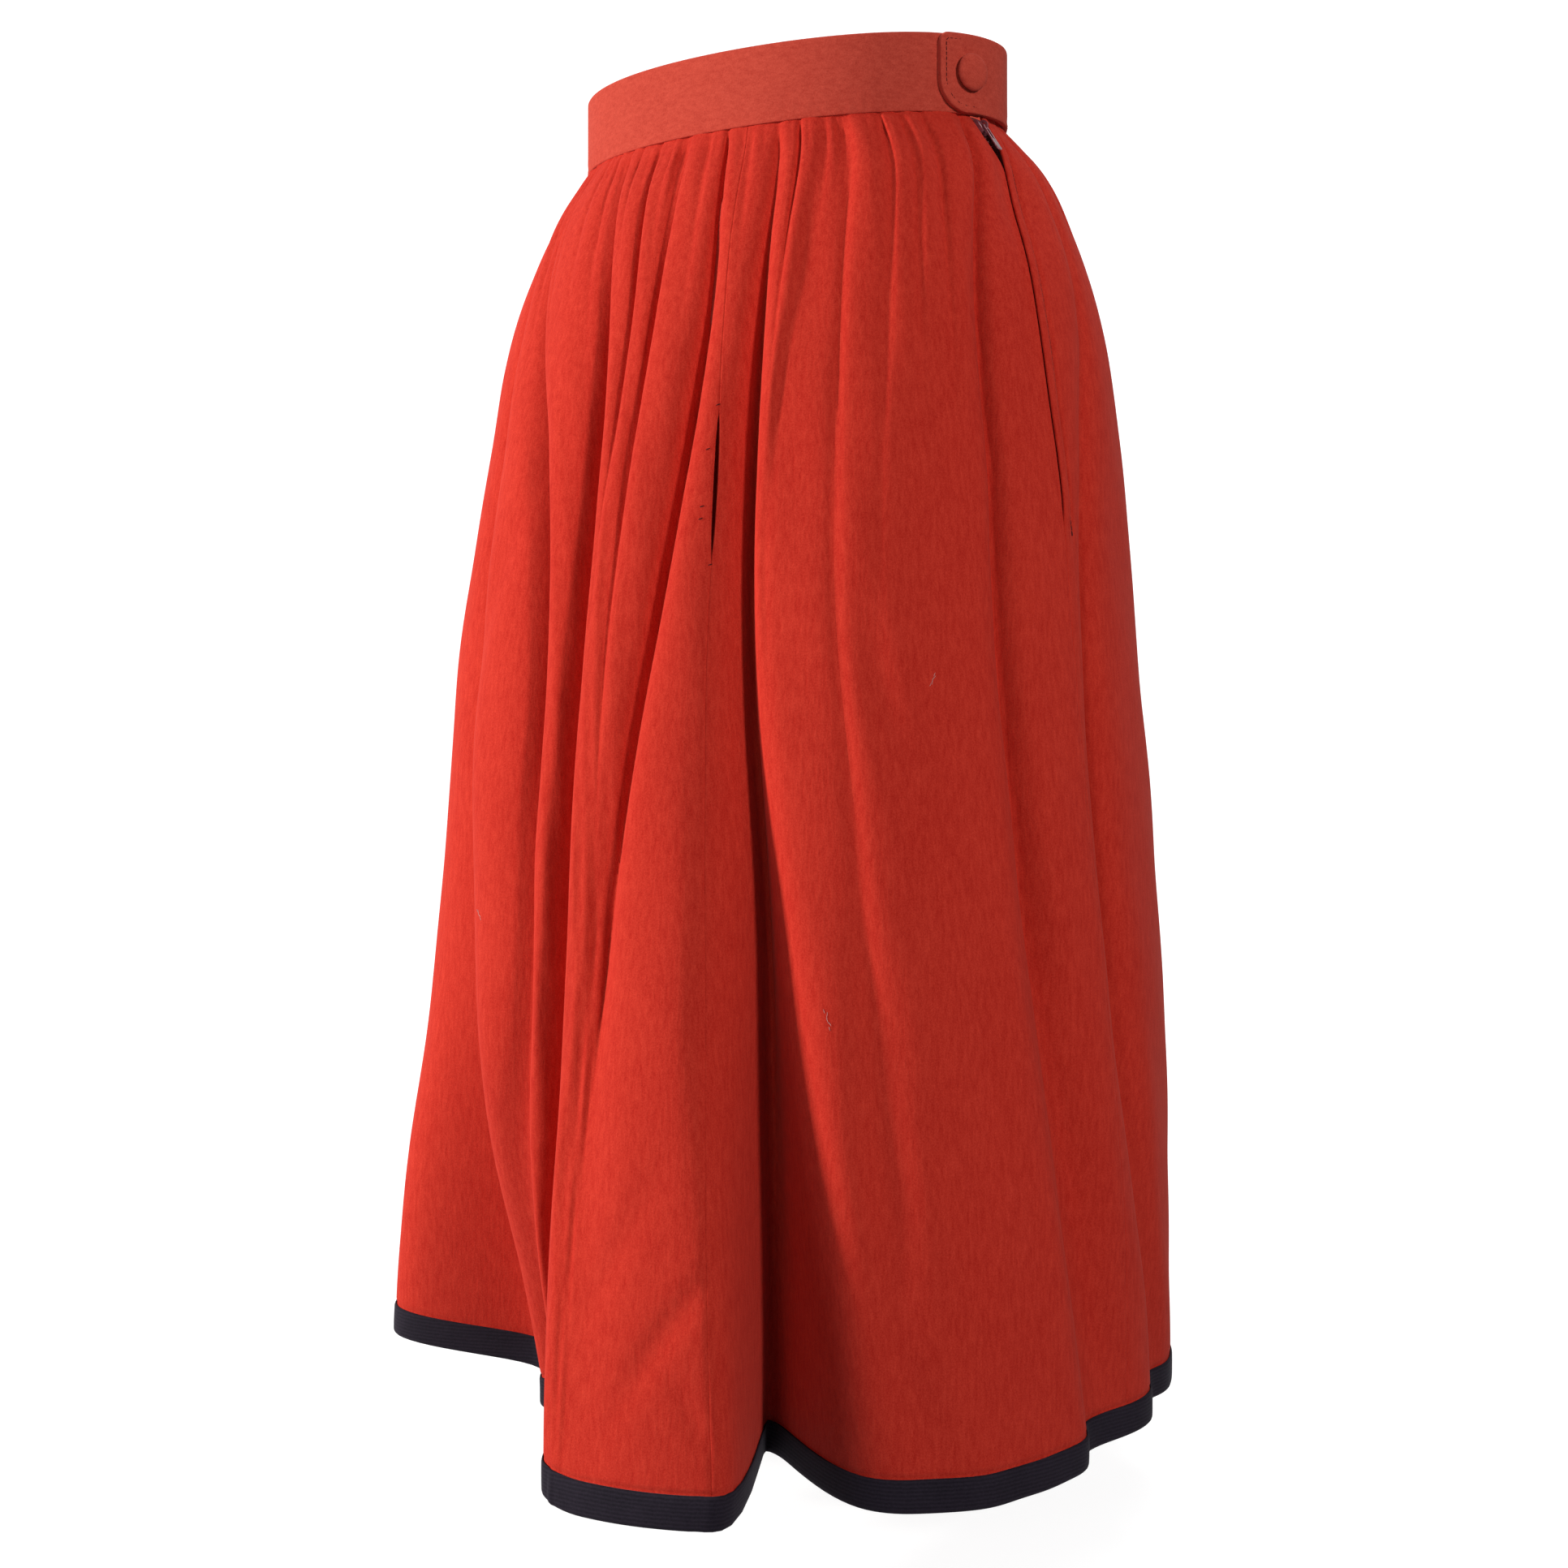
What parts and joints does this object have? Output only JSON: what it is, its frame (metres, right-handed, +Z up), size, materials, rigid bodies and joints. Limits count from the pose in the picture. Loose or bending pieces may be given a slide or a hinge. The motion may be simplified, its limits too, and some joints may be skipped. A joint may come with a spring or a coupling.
{
  "type": "gathered midi skirt",
  "caption": "Midi skirt of brushed wool, gathered into a wide waistband with a buttoned lapped tab, side zip, centre front seam with a small slit and bound hem, filled out as worn",
  "frame": {"origin": "The middle of the waistband, on the skirt's axis and at half the band's height", "axes": "+Z up, -Y towards the wearer's front, +X towards the wearer's left, where the zip is"},
  "size_m": [0.4081, 0.4199, 0.7037],
  "materials": {
    "brushed_wool": "rust red wool flannel with a short nap",
    "waistband_wool": "the same wool, pressed over interfacing",
    "woven_binding": "dark navy woven tape, matt",
    "zip_tape": "dark red woven tape with a nylon coil",
    "zip_enamel": "glossy rose enamel"
  },
  "bodies": {
    "skirt": {"waistband": "waistband_wool", "front_left_panel": "brushed_wool", "front_right_panel": "brushed_wool", "back_panel": "brushed_wool", "hem_binding": "woven_binding", "zip_tape": "zip_tape", "zip_slider": "zip_enamel", "waist_button": "waistband_wool"},
    "pull_tab": {"zip_pull": "zip_enamel"}
  },
  "joints": [
    {"name": "pull_tab_hinge", "type": "hinge", "parent": "skirt", "child": "pull_tab", "pos_m": [0.12529, -0.012, -0.01999], "axis": [-0.1132, -0.9783, 0.1733], "range_deg": [0, 110]}
  ]
}
